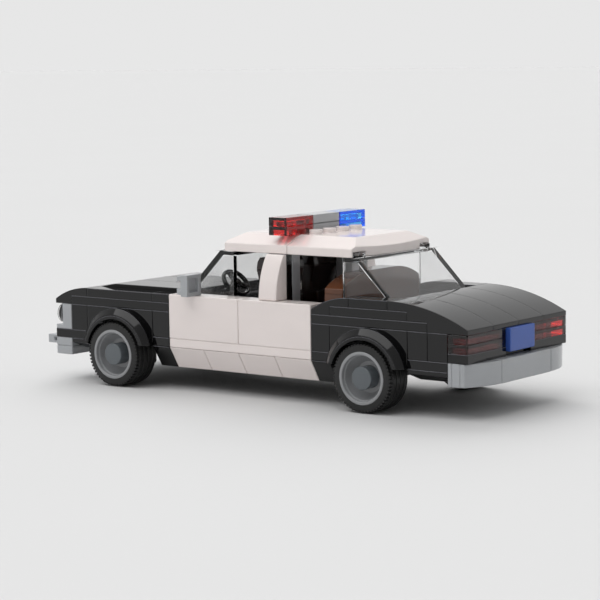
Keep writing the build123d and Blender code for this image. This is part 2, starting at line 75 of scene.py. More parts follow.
def colour_property(name, description, default):
    """Linear colour that a user may change."""
    return FloatVectorProperty(
        name=name, description=description, default=default, size=3, min=0.0, max=1.0, subtype="COLOR"
    )


def length_property(name, description, default):
    """Length in millimetres shown in scene units."""
    return FloatProperty(
        name=name, description=description, default=default * MM, min=0.0, precision=5,
        unit="LENGTH", subtype="DISTANCE",
    )


def angle_property(name, description, default):
    """Angle in degrees shown in scene units."""
    return FloatProperty(name=name, description=description, default=math.radians(default), subtype="ANGLE")


def number_property(name, description, default):
    """Plain number without a unit."""
    return FloatProperty(name=name, description=description, default=default)


class PatrolColours(bpy.types.PropertyGroup):
    """Colours of the plastics and of the rubber."""

    white: colour_property("White", "Doors, roof and sills", (0.89, 0.812, 0.787))
    black: colour_property("Black", "Fenders, hood, trunk and floor", (0.0035, 0.0035, 0.004))
    light_grey: colour_property("Light grey", "Bumpers, mirrors and lamp blocks", (0.405, 0.42, 0.437))
    rim_grey: colour_property("Rim grey", "Wheel rims", (0.30, 0.305, 0.315))
    dark_grey: colour_property("Hub grey", "Hub caps", (0.115, 0.13, 0.142))
    blue: colour_property("Blue", "Blank number plate", (0.036, 0.098, 0.40))
    brown: colour_property("Brown", "Rear bench", (0.13, 0.044, 0.017))
    # Front seats: the brown darkened into painted shade, standing in for the dim cabin
    dark_brown: colour_property("Dark brown", "Front seats", (0.016, 0.006, 0.005))
    clear: colour_property("Clear", "Windows and headlamps", (0.80, 0.82, 0.83))
    clear_red: colour_property("Clear red", "Tail lights and left end of the light bar", (0.88, 0.06, 0.05))
    clear_blue: colour_property("Clear blue", "Right end of the light bar", (0.05, 0.74, 1.0))
    tyre: colour_property("Tyre", "Rubber of the tyres", (0.012, 0.012, 0.012))


class PatrolSizes(bpy.types.PropertyGroup):
    """Sizes of the small forms that are added to the frame."""

    edge: length_property("Edge radius", "Rounding along the edges of moulded pieces", 0.25)
    black_edge: length_property("Black edge radius", "Rounding along the edges of black pieces", 0.05)
    edge_shade: length_property("Edge shading", "Shaded rounding along the edges of moulded pieces", 0.5)
    stud_radius: length_property("Stud radius", "Studs inside the clear plates", 2.4)
    stud_height: length_property("Stud height", "Studs inside the clear plates", 1.7)
    tube_radius: length_property("Tube radius", "Tubes under the floor plates", 3.25)
    wall: length_property("Wall", "Walls of hollow plates", 1.45)
    skin: length_property("Skin", "Top of hollow plates", 1.2)
    groove_depth: length_property("Groove depth", "Grooves between the ribs of a tyre", 0.55)
    groove_width: length_property("Groove width", "Grooves between the ribs of a tyre", 0.4)
    shoulder: length_property("Shoulder", "Width of the lugs beside the ribs of a tyre", 1.7)
    ribs: IntProperty(name="Ribs", description="Ribs round a tyre", default=4, min=1, max=8)
    lugs: IntProperty(
        name="Lugs", description="Lugs round each shoulder of a tyre", default=56, min=8, max=96
    )


class PatrolStage(bpy.types.PropertyGroup):
    """Camera and light that follow the photograph."""

    azimuth: angle_property("Azimuth", "Camera from the left side towards the rear", 37.054)
    elevation: angle_property("Elevation", "Camera above the horizon", 6.562)
    roll: angle_property("Roll", "Camera about its own view", -0.759)
    distance: FloatProperty(
        name="Distance", description="Camera from its target", default=0.783,
        unit="LENGTH", subtype="DISTANCE",
    )
    target: FloatVectorProperty(
        name="Target", description="Point that the camera looks at", default=(-0.00185, 0.0, 0.03199),
        subtype="TRANSLATION", unit="LENGTH",
    )
    lens: number_property("Lens", "Focal length in millimetres on the sensor", 129.17)
    sensor: number_property("Sensor", "Width of the sensor in millimetres", 36.0)
    backdrop: number_property("Backdrop", "Radiance of the surroundings ahead", 0.61)
    rear: number_property("Rear dimming", "How far the surroundings fade towards the rear", 0.5)
    sides: number_property("Side gain", "How far the surroundings brighten on the right", 0.45)
    side_limit: number_property("Side limit", "Sine of the angle where the brightening ends", 0.69)
    top: number_property("Top dimming", "How far the surroundings fade overhead", 0.2)
    soft: number_property("Soft light", "Radiance that the soft light overhead adds", 1.65)
    soft_low: FloatVectorProperty(
        name="Soft light low", description="Rear right corner of the soft light on a plane one unit above",
        default=(-0.35, 0.0), size=2,
    )
    soft_high: FloatVectorProperty(
        name="Soft light high", description="Front left corner of the soft light on a plane one unit above",
        default=(0.95, 1.05), size=2,
    )
    lamp: number_property("Lamp", "Strength of the wide lamp", 1.85)
    lamp_angle: angle_property("Lamp width", "Angle over which the lamp spreads", 54.0)
    lamp_from: FloatVectorProperty(
        name="Lamp from", description="Direction from the car to the lamp", default=(0.95, -0.85, 1.0),
        subtype="DIRECTION",
    )
    floor: number_property("Floor", "Albedo of the floor", 0.65)
    floor_half: FloatProperty(
        name="Floor reach", description="Half the width of the floor", default=12.0,
        unit="LENGTH", subtype="DISTANCE",
    )


class NodeTree:
    """Adds and links the nodes of one tree."""

    def __init__(self, tree):
        self.tree = tree
        tree.nodes.clear()

    def add(self, kind, inputs=None, **settings):
        """Node of a kind, with its settings and with its inputs linked or set."""
        made = self.tree.nodes.new(kind)
        for name, value in settings.items():
            setattr(made, name, value)
        for name, value in (inputs or {}).items():
            socket = made.inputs[name]
            if isinstance(value, bpy.types.NodeSocket):
                self.tree.links.new(value, socket)
            else:
                socket.default_value = value
        return made

    def noise(self, place, scale, detail=2.0, stretch=(1.0, 1.0, 1.0)):
        """Noise over object coordinates, stretched along the axes."""
        mapped = self.add("ShaderNodeMapping", {"Vector": place, "Scale": stretch})
        settings = {"Vector": mapped.outputs["Vector"], "Scale": scale, "Detail": detail}
        return self.add("ShaderNodeTexNoise", settings).outputs["Fac"]

    def compute(self, operation, first, second):
        """Result of one operation on two sockets or numbers."""
        return self.add("ShaderNodeMath", {0: first, 1: second}, operation=operation).outputs["Value"]

    def bump(self, height, strength, distance, **inputs):
        """Normal of a bumped surface, with the distance in millimetres."""
        settings = {"Height": height, "Strength": strength, "Distance": distance * MM, **inputs}
        return self.add("ShaderNodeBump", settings).outputs["Normal"]

    def between(self, value, low, high):
        """Maps the middle of a noise to a range."""
        made = self.add(
            "ShaderNodeMapRange",
            {"Value": value, "From Min": 0.3, "From Max": 0.7, "To Min": low, "To Max": high},
        )
        return made.outputs["Result"]

    def tinted(self, colour, value):
        """Colour scaled by a value that runs about one."""
        made = self.add("ShaderNodeVectorMath", {0: tuple(colour)}, operation="SCALE")
        self.tree.links.new(value, made.inputs["Scale"])
        return made.outputs["Vector"]


def new_material(name):
    """Empty node material and its tree with object coordinates."""
    material = bpy.data.materials.new(name)
    material.use_nodes = True
    nodes = NodeTree(material.node_tree)
    place = nodes.add("ShaderNodeTexCoord").outputs["Object"]
    return material, nodes, place


def set_surface(nodes, shader, **inputs):
    """Ends a material in a surface and whatever else is given."""
    nodes.add("ShaderNodeOutputMaterial", {"Surface": shader.outputs["BSDF"], **inputs})


def plastic(name, colour, gloss=0.13, specular=0.5, flow=0.03, rim=0.0):
    """Moulded plastic: faint flow marks, smudged gloss and a fine grain with hairline scratches.

    Upper edges are lightened by the factor rim: a painted highlight where rounded edges would catch the light
    from above.
    """
    material, nodes, place = new_material(name)
    marks = nodes.noise(place, scale=55.0, detail=3.0, stretch=(1.0, 1.6, 2.4))
    smudge = nodes.noise(place, scale=140.0, detail=4.0)
    scratch = nodes.noise(place, scale=900.0, detail=2.0, stretch=(0.06, 1.0, 1.0))
    grain = nodes.noise(place, scale=5200.0, detail=1.0)
    reach = bpy.context.scene.patrol_sizes.edge_shade
    rounded = nodes.add("ShaderNodeBevel", {"Radius": reach}, samples=6).outputs["Normal"]
    relief = nodes.compute("MULTIPLY", scratch, grain)
    normal = nodes.bump(relief, strength=0.035, distance=0.04, Normal=rounded)
    tint = nodes.between(marks, 1.0 - flow, 1.0 + flow)
    # Painted highlight: lighter base colour where the shaded rounding leans upward, as if the edge caught the
    # overhead light
    if rim:
        flat = nodes.add("ShaderNodeNewGeometry").outputs["Normal"]
        lean = nodes.add("ShaderNodeVectorMath", {0: rounded, 1: flat}, operation="SUBTRACT")
        upward = nodes.add("ShaderNodeSeparateXYZ", {"Vector": lean.outputs["Vector"]}).outputs["Z"]
        painted_highlight = nodes.add(
            "ShaderNodeMapRange",
            {"Value": upward, "From Min": 0.1, "From Max": 0.4, "To Min": 0.0, "To Max": rim},
        )
        tint = nodes.compute("ADD", tint, painted_highlight.outputs["Result"])
    shader = nodes.add(
        "ShaderNodeBsdfPrincipled",
        {
            "Base Color": nodes.tinted(colour, tint),
            "Roughness": nodes.between(smudge, gloss * 0.8, gloss * 1.25),
            "Specular IOR Level": specular,
            "Normal": normal,
        },
    )
    set_surface(nodes, shader)
    return material


def clear_plastic(name, colour, gloss=0.03, bend=1.5, density=0.0):
    """Clear moulded plastic, tinted by depth, with faint swirls in its surface tint and smudges."""
    material, nodes, place = new_material(name)
    swirl = nodes.noise(place, scale=90.0, detail=3.0, stretch=(1.0, 2.0, 1.0))
    smudge = nodes.noise(place, scale=160.0, detail=4.0)
    wave = nodes.noise(place, scale=210.0, detail=1.0)
    shader = nodes.add(
        "ShaderNodeBsdfPrincipled",
        {
            "Base Color": nodes.tinted((1.0, 1.0, 1.0), nodes.between(swirl, 0.94, 1.0)),
            "Roughness": nodes.between(smudge, gloss * 0.7, gloss * 1.3),
            "IOR": bend,
            "Transmission Weight": 1.0,
            "Normal": nodes.bump(wave, strength=0.04, distance=0.05),
        },
    )
    depth = nodes.add("ShaderNodeVolumeAbsorption", {"Color": (*colour, 1.0), "Density": density})
    set_surface(nodes, shader, Volume=depth.outputs["Volume"])
    return material


def rubber(name, colour):
    """Matt rubber with dusty patches and a fine pebbled skin."""
    material, nodes, place = new_material(name)
    dust = nodes.noise(place, scale=110.0, detail=5.0)
    skin = nodes.noise(place, scale=2600.0, detail=3.0)
    shader = nodes.add(
        "ShaderNodeBsdfPrincipled",
        {
            "Base Color": nodes.tinted(colour, nodes.between(dust, 0.75, 1.35)),
            "Roughness": nodes.between(dust, 0.36, 0.48),
            "Specular IOR Level": 0.45,
            "Normal": nodes.bump(skin, strength=0.25, distance=0.1),
        },
    )
    set_surface(nodes, shader)
    return material


# How each slot of the record is made: maker and its settings beside the colour
FINISHES = {
    "white": (plastic, {"gloss": 0.1, "flow": 0.015}),
    # rim paints a highlight along the upper edges of black pieces
    "black": (plastic, {"gloss": 0.06, "specular": 0.42, "flow": 0.12, "rim": 45.0}),
    "black_top": (plastic, {"gloss": 0.06, "specular": 0.45, "flow": 0.12}),
    "light_grey": (plastic, {"gloss": 0.1}),
    "rim_grey": (plastic, {"gloss": 0.14}),
    "dark_grey": (plastic, {"gloss": 0.14}),
    "blue": (plastic, {"gloss": 0.1, "flow": 0.05}),
    "brown": (plastic, {"gloss": 0.1, "flow": 0.06}),
    "dark_brown": (plastic, {"gloss": 0.1, "flow": 0.06}),
    "clear": (clear_plastic, {"density": 60.0}),
    "clear_red": (clear_plastic, {"density": 1300.0}),
    "clear_blue": (clear_plastic, {"density": 900.0}),
    "tyre": (rubber, {}),
}


def material_of(slot):
    """Material of a slot, made when it is first asked for."""
    name = f"car_{slot}"
    if name not in bpy.data.materials:
        maker, settings = FINISHES[slot]
        maker(name, getattr(bpy.context.scene.patrol_colours, slot.removesuffix("_top")), **settings)
    return bpy.data.materials[name]


def node_named(name):
    """CAD object of a node, or an error that names what is missing."""
    if name not in frame["nodes"]:
        raise RuntimeError(f"the frame has no node {name}")
    return frame["nodes"][name]


def round_edges(piece, width):
    """Rounds the sharp edges of a piece and evens its normals."""
    bevel = piece.modifiers.new("Edge radius", "BEVEL")
    bevel.width = width
    bevel.segments = 2
    bevel.limit_method = "ANGLE"
    bevel.angle_limit = EDGE_ANGLE
    bevel.use_clamp_overlap = False
    bevel.harden_normals = True
    piece.modifiers.new("Even normals", "WEIGHTED_NORMAL").keep_sharp = True


def dress(*names):
    """Gives CAD nodes their material and rounded edges."""
    sizes = bpy.context.scene.patrol_sizes
    for name in names:
        piece = node_named(name)
        piece.data.materials.clear()
        piece.data.materials.append(material_of("black_top" if name in TOPS else SLOT_OF[name]))
        piece.modifiers.new("Join facets", "WELD").merge_threshold = WELD
        flat = piece.modifiers.new("Flat faces", "DECIMATE")
        flat.decimate_type = "DISSOLVE"
        flat.angle_limit = FLAT_ANGLE
        round_edges(piece, sizes.black_edge if SLOT_OF[name] == "black" else sizes.edge)


def new_piece(name, mesh_data, node, replaces=True):
    """Object for a finished mesh that stands for a CAD node or is added to it."""
    piece = bpy.data.objects.new(name, mesh_data)
    bpy.context.scene.collection.objects.link(piece)
    slot = SLOT_OF[node]
    if not mesh_data.materials:
        mesh_data.materials.append(material_of(slot))
    body = next(b for b, held in frame["record"]["behaviour"]["bodies"].items() if node in held)
    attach(piece, body)
    if replaces:
        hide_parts(node)
    return piece


def mesh_from(bm, name):
    """Mesh with outward faces, smooth over its blunt edges."""
    bmesh.ops.recalc_face_normals(bm, faces=bm.faces)
    mesh_data = bpy.data.meshes.new(name)
    bm.to_mesh(mesh_data)
    bm.free()
    mesh_data.shade_smooth()
    mesh_data.set_sharp_from_angle(angle=SMOOTH_ANGLE)
    return mesh_data


def move_mesh(bm, mesh_data):
    """Takes a passing mesh into a larger one."""
    bm.from_mesh(mesh_data)
    bpy.data.meshes.remove(mesh_data)


def join_loops(bm, first, second):
    """Faces between two closed loops that have as many corners."""
    count = len(first)
    for n in range(count):
        m = (n + 1) % count
        bm.faces.new((first[n], first[m], second[m], second[n]))


def mirrored_at(point, sign):
    """Matrix that turns Y over by a sign and then moves to a point."""
    return Matrix.Translation(point) @ Matrix.Diagonal((1.0, sign, 1.0, 1.0))


def lathe(bm, outline, steps, place):
    """Ring about Y from a closed outline of (radius, y) in millimetres, moved by a matrix."""
    rings = []
    for step in range(steps):
        turn = math.tau * step / steps
        ring = []
        for radius, along in outline:
            point = Vector((radius * math.cos(turn), along, radius * math.sin(turn))) * MM
            ring.append(bm.verts.new(place @ point))
        rings.append(ring)
    for step in range(steps):
        join_loops(bm, rings[step], rings[(step + 1) % steps])


def rod(bm, radius, low, high, x, y, sides=40):
    """Closed upright rod."""
    place = Matrix.Translation((x, y, (low + high) / 2))
    bmesh.ops.create_cone(
        bm, cap_ends=True, segments=sides, radius1=radius, radius2=radius, depth=high - low, matrix=place
    )


def hollow_plate(bm, low, high, wall, skin):
    """Plate with an open underside between two corners."""
    inner_low = Vector((low.x + wall, low.y + wall, low.z))
    inner_high = Vector((high.x - wall, high.y - wall, high.z - skin))

    def loops(a, b):
        """Lower and upper loop of a block's corners."""
        plan = ((a.x, a.y), (b.x, a.y), (b.x, b.y), (a.x, b.y))
        return [[bm.verts.new((x, y, z)) for x, y in plan] for z in (a.z, b.z)]

    outer, inner = loops(low, high), loops(inner_low, inner_high)
    for lower, upper in (outer, inner):
        bm.faces.new(upper)
        join_loops(bm, lower, upper)
    join_loops(bm, outer[0], inner[0])


def group_inputs(tree, rows):
    """Adds named inputs to a geometry tree: name, socket type."""
    for name, kind in rows:
        tree.interface.new_socket(name=name, in_out="INPUT", socket_type=kind)
    tree.interface.new_socket(name="Geometry", in_out="OUTPUT", socket_type="NodeSocketGeometry")


def finish_tree(nodes, geometry, material):
    """Ends a geometry tree in real geometry with its material."""
    real = nodes.add("GeometryNodeRealizeInstances", {"Geometry": geometry})
    settings = {"Geometry": real.outputs["Geometry"], "Material": material}
    painted = nodes.add("GeometryNodeSetMaterial", settings)
    nodes.add("NodeGroupOutput", {"Geometry": painted.outputs["Geometry"]})


def lug_tree():
    """Geometry tree: one row of tilted blocks round a circle about Z, turned by part of a step."""
    tree = bpy.data.node_groups.new("Ring of lugs", "GeometryNodeTree")
    group_inputs(
        tree,
        (
            ("Count", "NodeSocketInt"),
            ("Radius", "NodeSocketFloat"),
            ("Size", "NodeSocketVector"),
            ("Tilt", "NodeSocketFloat"),
            ("Shift", "NodeSocketFloat"),
            ("Material", "NodeSocketMaterial"),
        ),
    )
    nodes = NodeTree(tree)
    given = nodes.add("NodeGroupInput").outputs
    circle = nodes.add("GeometryNodeMeshCircle", {"Vertices": given["Count"], "Radius": given["Radius"]})
    index = nodes.add("GeometryNodeInputIndex").outputs["Index"]
    turn = nodes.compute("MULTIPLY", nodes.compute("DIVIDE", index, given["Count"]), math.tau)
    spin = nodes.add("ShaderNodeCombineXYZ", {"Y": given["Tilt"], "Z": turn}).outputs["Vector"]
    block = nodes.add("GeometryNodeMeshCube", {"Size": given["Size"]}).outputs["Mesh"]
    set_round = nodes.add(
        "GeometryNodeInstanceOnPoints",
        {"Points": circle.outputs["Mesh"], "Instance": block, "Rotation": spin},
    )
    shift = nodes.add("ShaderNodeCombineXYZ", {"Z": given["Shift"]}).outputs["Vector"]
    turned = nodes.add(
        "GeometryNodeTransform", {"Geometry": set_round.outputs["Instances"], "Rotation": shift}
    )
    finish_tree(nodes, turned.outputs["Geometry"], given["Material"])
    return tree


def tube_tree():
    """Geometry tree: tubes on a grid in the X-Y plane."""
    tree = bpy.data.node_groups.new("Grid of tubes", "GeometryNodeTree")
    group_inputs(
        tree,
        (
            ("Columns", "NodeSocketInt"),
            ("Rows", "NodeSocketInt"),
            ("Pitch", "NodeSocketFloat"),
            ("Radius", "NodeSocketFloat"),
            ("Bore", "NodeSocketFloat"),
            ("Depth", "NodeSocketFloat"),
            ("Sides", "NodeSocketInt"),
            ("Material", "NodeSocketMaterial"),
        ),
    )
    nodes = NodeTree(tree)
    given = nodes.add("NodeGroupInput").outputs

    def span(count):
        """Distance from the first of a row to the last."""
        return nodes.compute("MULTIPLY", nodes.compute("SUBTRACT", count, 1.0), given["Pitch"])

    grid = nodes.add(
        "GeometryNodeMeshGrid",
        {
            "Size X": span(given["Columns"]),
            "Size Y": span(given["Rows"]),
            "Vertices X": given["Columns"],
            "Vertices Y": given["Rows"],
        },
    )

    def round_bar(radius, depth):
        """Cylinder about Z."""
        settings = {"Vertices": given["Sides"], "Radius": radius, "Depth": depth}
        return nodes.add("GeometryNodeMeshCylinder", settings).outputs["Mesh"]

    solid = round_bar(given["Radius"], given["Depth"])
    through = round_bar(given["Bore"], nodes.compute("MULTIPLY", given["Depth"], 1.5))
    tube = nodes.add("GeometryNodeMeshBoolean", {"Mesh 1": solid, "Mesh 2": through}, operation="DIFFERENCE")
    tubes = nodes.add(
        "GeometryNodeInstanceOnPoints", {"Points": grid.outputs["Mesh"], "Instance": tube.outputs["Mesh"]}
    )
    finish_tree(nodes, tubes.outputs["Instances"], given["Material"])
    return tree


def grown_mesh(tree, values, place):
    """Plain mesh made by a geometry tree with its inputs set, moved by a matrix."""
    holder = bpy.data.objects.new("holder", bpy.data.meshes.new("holder"))
    bpy.context.scene.collection.objects.link(holder)
    modifier = holder.modifiers.new("Grow", "NODES")
    modifier.node_group = tree
    for item in tree.interface.items_tree:
        if item.in_out == "INPUT":
            modifier[item.identifier] = values[item.name]
    holder.update_tag()
    graph = bpy.context.evaluated_depsgraph_get()
    made = bpy.data.meshes.new_from_object(holder.evaluated_get(graph))
    made.transform(place)
    holder.modifiers.remove(modifier)
    bpy.data.objects.remove(holder)
    return made


class CarOperator:
    """What the operators of the car share: they dress the CAD nodes that they name."""

    bl_options = {"REGISTER", "UNDO"}
    nodes = ()

    def execute(self, context):
        dress(*self.nodes)
        self.add_detail(context.scene.patrol_sizes)
        return {"FINISHED"}

    def add_detail(self, sizes):
        """Pieces that are rebuilt beside the dressed nodes."""


class PATROL_OT_floor(CarOperator, bpy.types.Operator):
    """Dress the floor, sills and axle bearers and fill the hollow plates with tubes"""

    bl_idname = "patrol.floor"
    bl_label = "Floor and sills"
    nodes = (
        "floor_plates", "stripe_plates", "side_plates", "sill_brackets",
        "sill_slopes_white", "sill_slopes_black", "valance_slopes",
    )
    # Outline of a bearer: part of its half length and of its height, from the foot to the top
    bearer_outline = (
        (0.34, 0.0), (0.46, 0.04), (0.52, 0.12), (0.52, 0.6), (0.6, 0.68), (1.0, 0.72), (1.0, 1.0),
    )
    bore_radius = 2.45 * MM
    round_steps = 32  # sides of a bore or tube
    # Grids of tubes between those of the frame: middle along X in studs, columns, rows
    tube_grids = ((-7.5, 6, 3), (7.5, 6, 3), (-2.5, 2, 3), (2.5, 2, 3), (0, 1, 3), (-1, 1, 1), (1, 1, 1))

    def add_detail(self, sizes):
        low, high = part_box("floor_plates")
        middle = (low + high) / 2
        depth = high.z - low.z - sizes.skin
        tree = tube_tree()
        bm = bmesh.new()
        for studs, columns, rows in self.tube_grids:
            values = {
                "Columns": columns,
                "Rows": rows,
                "Pitch": PITCH,
                "Radius": sizes.tube_radius,
                "Bore": sizes.stud_radius,
                "Depth": depth,
                "Sides": self.round_steps,
                "Material": material_of(SLOT_OF["floor_plates"]),
            }
            place = Matrix.Translation((middle.x + studs * PITCH, middle.y, low.z + depth / 2))
            move_mesh(bm, grown_mesh(tree, values, place))
        new_piece("floor_tubes", mesh_from(bm, "floor_tubes"), "floor_plates", replaces=False)
        self.add_bearers(sizes)

    def add_bearers(self, sizes):
        """Bearers that narrow to an eye round each axle, in the place of the frame's blocks."""
        low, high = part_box("axle_bearers")
        half, depth, height = PITCH - PLAY, PITCH - 2.0 * PLAY, high.z - low.z
        turns = [math.tau * n / self.round_steps for n in range(self.round_steps)]
        bm = bmesh.new()
        for end in ("front", "rear"):
            axle_low, axle_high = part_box(f"{end}_axle")
            middle = (axle_low + axle_high) / 2
            side = [(part * half, low.z + up * height) for part, up in self.bearer_outline]
            outline = side + [(-x, z) for x, z in reversed(side)]
            radius = self.bore_radius
            bore = [(radius * math.cos(turn), middle.z + radius * math.sin(turn)) for turn in turns]
            loops = [[Vector((x, z, 0.0)) for x, z in loop] for loop in (outline, bore)]
            triangles = tessellate_polygon(loops)
            shape = [(middle.x + x, z) for x, z in outline + bore]
            count = len(outline)
            for outer in (high.y, low.y + depth):
                near, far = ([bm.verts.new((x, y, z)) for x, z in shape] for y in (outer, outer - depth))
                for corners in (near, far):
                    for triangle in triangles:
                        bm.faces.new([corners[n] for n in triangle])
                join_loops(bm, near[:count], far[:count])
                join_loops(bm, near[count:], far[count:])
        piece = new_piece("eyed_bearers", mesh_from(bm, "bearers"), "axle_bearers")
        round_edges(piece, sizes.edge)


class PATROL_OT_sides(CarOperator, bpy.types.Operator):
    """Dress the fenders, arches, doors, pillars and mirrors"""

    bl_idname = "patrol.sides"
    bl_label = "Sides"
    nodes = (
        "wheel_arches", "fender_panels", "inner_walls", "fender_tiles", "door_backings", "door_tiles",
        "b_pillar_posts", "b_pillar_plates", "b_pillar_covers", "mirrors",
    )
    # Section of a flare over the frame's cone: radius and distance inwards from the rim, millimetres
    flare_section = ((14.2, 0.0), (16.75, 1.95), (16.75, 4.0), (16.0, 4.0))
    flare_steps = 160

    def add_detail(self, sizes):
        low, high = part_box("wheel_arches")
        bm = bmesh.new()
        for end in ("front", "rear"):
            tyre_low, tyre_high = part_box(f"{end}_tyre_left")
            middle = (tyre_low + tyre_high) / 2
            for sign, rim in ((1.0, high.y), (-1.0, low.y)):
                ring = bmesh.new()
                place = mirrored_at((middle.x, rim, middle.z), -sign)
                lathe(ring, self.flare_section, self.flare_steps, place)
                cut = bmesh.ops.bisect_plane(
                    ring, geom=ring.verts[:] + ring.edges[:] + ring.faces[:],
                    plane_co=(0.0, 0.0, low.z), plane_no=(0.0, 0.0, -1.0), clear_outer=True,
                )
                rims = [edge for edge in cut["geom_cut"] if isinstance(edge, bmesh.types.BMEdge)]
                bmesh.ops.holes_fill(ring, edges=rims)
                move_mesh(bm, mesh_from(ring, "flare"))
        new_piece("flare_skins", mesh_from(bm, "flares"), "wheel_arches", replaces=False)


class PATROL_OT_front(CarOperator, bpy.types.Operator):
    """Dress the bumper, lamp blocks, grille and hood and turn the lamps"""

    bl_idname = "patrol.front"
    bl_label = "Front and hood"
    nodes = (
        "front_bumper_lower", "front_bumper_upper", "bumper_guards", "headlamp_blocks", "grille",
        "front_deck", "cowl_deck", "hood_nose", "hood_panels",
    )
    # Outline of a lens: part of its radius and of its depth
    lens_outline = (
        (0.003, 0.0), (0.99, 0.0), (1.0, 0.02), (1.0, 0.86), (0.97, 0.95), (0.93, 0.98),
        (0.86, 1.0), (0.66, 1.0), (0.6, 0.9), (0.3, 0.86), (0.003, 0.85),
    )
    lens_steps = 64

    def add_detail(self, sizes):
        low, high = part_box("headlamps")
        radius, depth = (high.z - low.z) / 2 / MM, (high.x - low.x) / MM
        outline = [(part * radius, along * depth) for part, along in self.lens_outline]
        outer_y = high.y - radius * MM
        forward = Matrix.Rotation(math.radians(-90.0), 4, "Z")
        bm = bmesh.new()
        for y in (outer_y, outer_y - PITCH, PITCH - outer_y, -outer_y):
            place = Matrix.Translation((low.x, y, (low.z + high.z) / 2)) @ forward
            lathe(bm, outline, self.lens_steps, place)
        new_piece("turned_headlamps", mesh_from(bm, "headlamps"), "headlamps")


class PATROL_OT_cabin(CarOperator, bpy.types.Operator):
    """Dress the windows, roof, seats and steering wheel"""

    bl_idname = "patrol.cabin"
    bl_label = "Cabin and roof"
    nodes = (
        "windscreen", "rear_window", "roof_front", "roof_rear", "front_seats", "rear_bench", "steering_wheel",
        "bar_grey",
    )
    # Section of a headrest's upper part: share of its depth, and height over the seat in millimetres
    headrest_section = ((0.0, 0.0), (1.0, 0.0), (0.94, 2.8), (0.8, 4.4), (0.2, 4.4), (0.05, 2.8))
    seat_middle = 1.5 * PITCH

    def add_detail(self, sizes):
        low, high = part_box("front_seats")
        half, depth = high.y - self.seat_middle, PITCH - PLAY
        section = [(low.x + part * depth, high.z + up * MM) for part, up in self.headrest_section]
        bm = bmesh.new()
        for middle in (self.seat_middle, -self.seat_middle):
            ends = [[bm.verts.new((x, y, z)) for x, z in section] for y in (middle - half, middle + half)]
            for corners in ends:
                bm.faces.new(corners)
            join_loops(bm, *ends)
        piece = new_piece("headrest_tops", mesh_from(bm, "headrests"), "front_seats", replaces=False)
        round_edges(piece, sizes.edge)


class PATROL_OT_rear(CarOperator, bpy.types.Operator):
    """Dress the trunk, rear deck, number plate and bumper"""

    bl_idname = "patrol.rear"
    bl_label = "Rear"
    nodes = (
        "rear_deck_lower", "rear_deck_upper", "rear_cap_slopes", "rear_fender_tiles", "trunk_slopes",
        "tail_plates", "number_plate", "bumper_bracket", "bumper_plate", "bumper_slopes",
    )


class PATROL_OT_lamps(CarOperator, bpy.types.Operator):
    """Build the clear plates of the light bar and tail lights, hollow and with studs inside"""

    bl_idname = "patrol.lamps"
    bl_label = "Light bar and tail lights"
    gap = 0.03 * MM  # between two layers
    pin_sides = 24
    edge_share = 0.7  # of the edge radius of other pieces

    def clear_stack(self, sizes, name, sections, layers):
        """Hollow plates in layers over sections of (low, high), with studs between the layers."""
        bm = bmesh.new()
        gap = self.gap
        for low, high in sections:
            for layer in range(layers):
                bottom = low.z + layer * PLATE
                base = Vector((low.x, low.y, bottom + gap))
                top = Vector((high.x, high.y, bottom + PLATE - gap))
                hollow_plate(bm, base, top, sizes.wall, sizes.skin)
                studs = round((high.y - low.y) / PITCH)
                middle_x = (low.x + high.x) / 2
                for n in range(studs - 1):
                    y = low.y + (n + 1) * (high.y - low.y) / studs
                    pin_top = bottom + PLATE - sizes.skin
                    rod(bm, sizes.wall, bottom + gap, pin_top, middle_x, y, self.pin_sides)
                if layer < layers - 1:
                    for n in range(studs):
                        y = low.y + (n + 0.5) * (high.y - low.y) / studs
                        stud_top = bottom + PLATE + sizes.stud_height
                        rod(bm, sizes.stud_radius, bottom + PLATE + gap, stud_top, middle_x, y)
        piece = new_piece(f"clear_{name}", mesh_from(bm, name), name)
        round_edges(piece, sizes.edge * self.edge_share)

    def add_detail(self, sizes):
        for name in ("bar_red", "bar_blue"):
            self.clear_stack(sizes, name, [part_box(name)], 2)
        for name in ("tail_lights_lower", "tail_lights_upper"):
            low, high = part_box(name)
            inner = PITCH + PLAY
            left = (Vector((low.x, inner, low.z)), high)
            right = (low, Vector((high.x, -inner, high.z)))
            self.clear_stack(sizes, name, [left, right], 1)


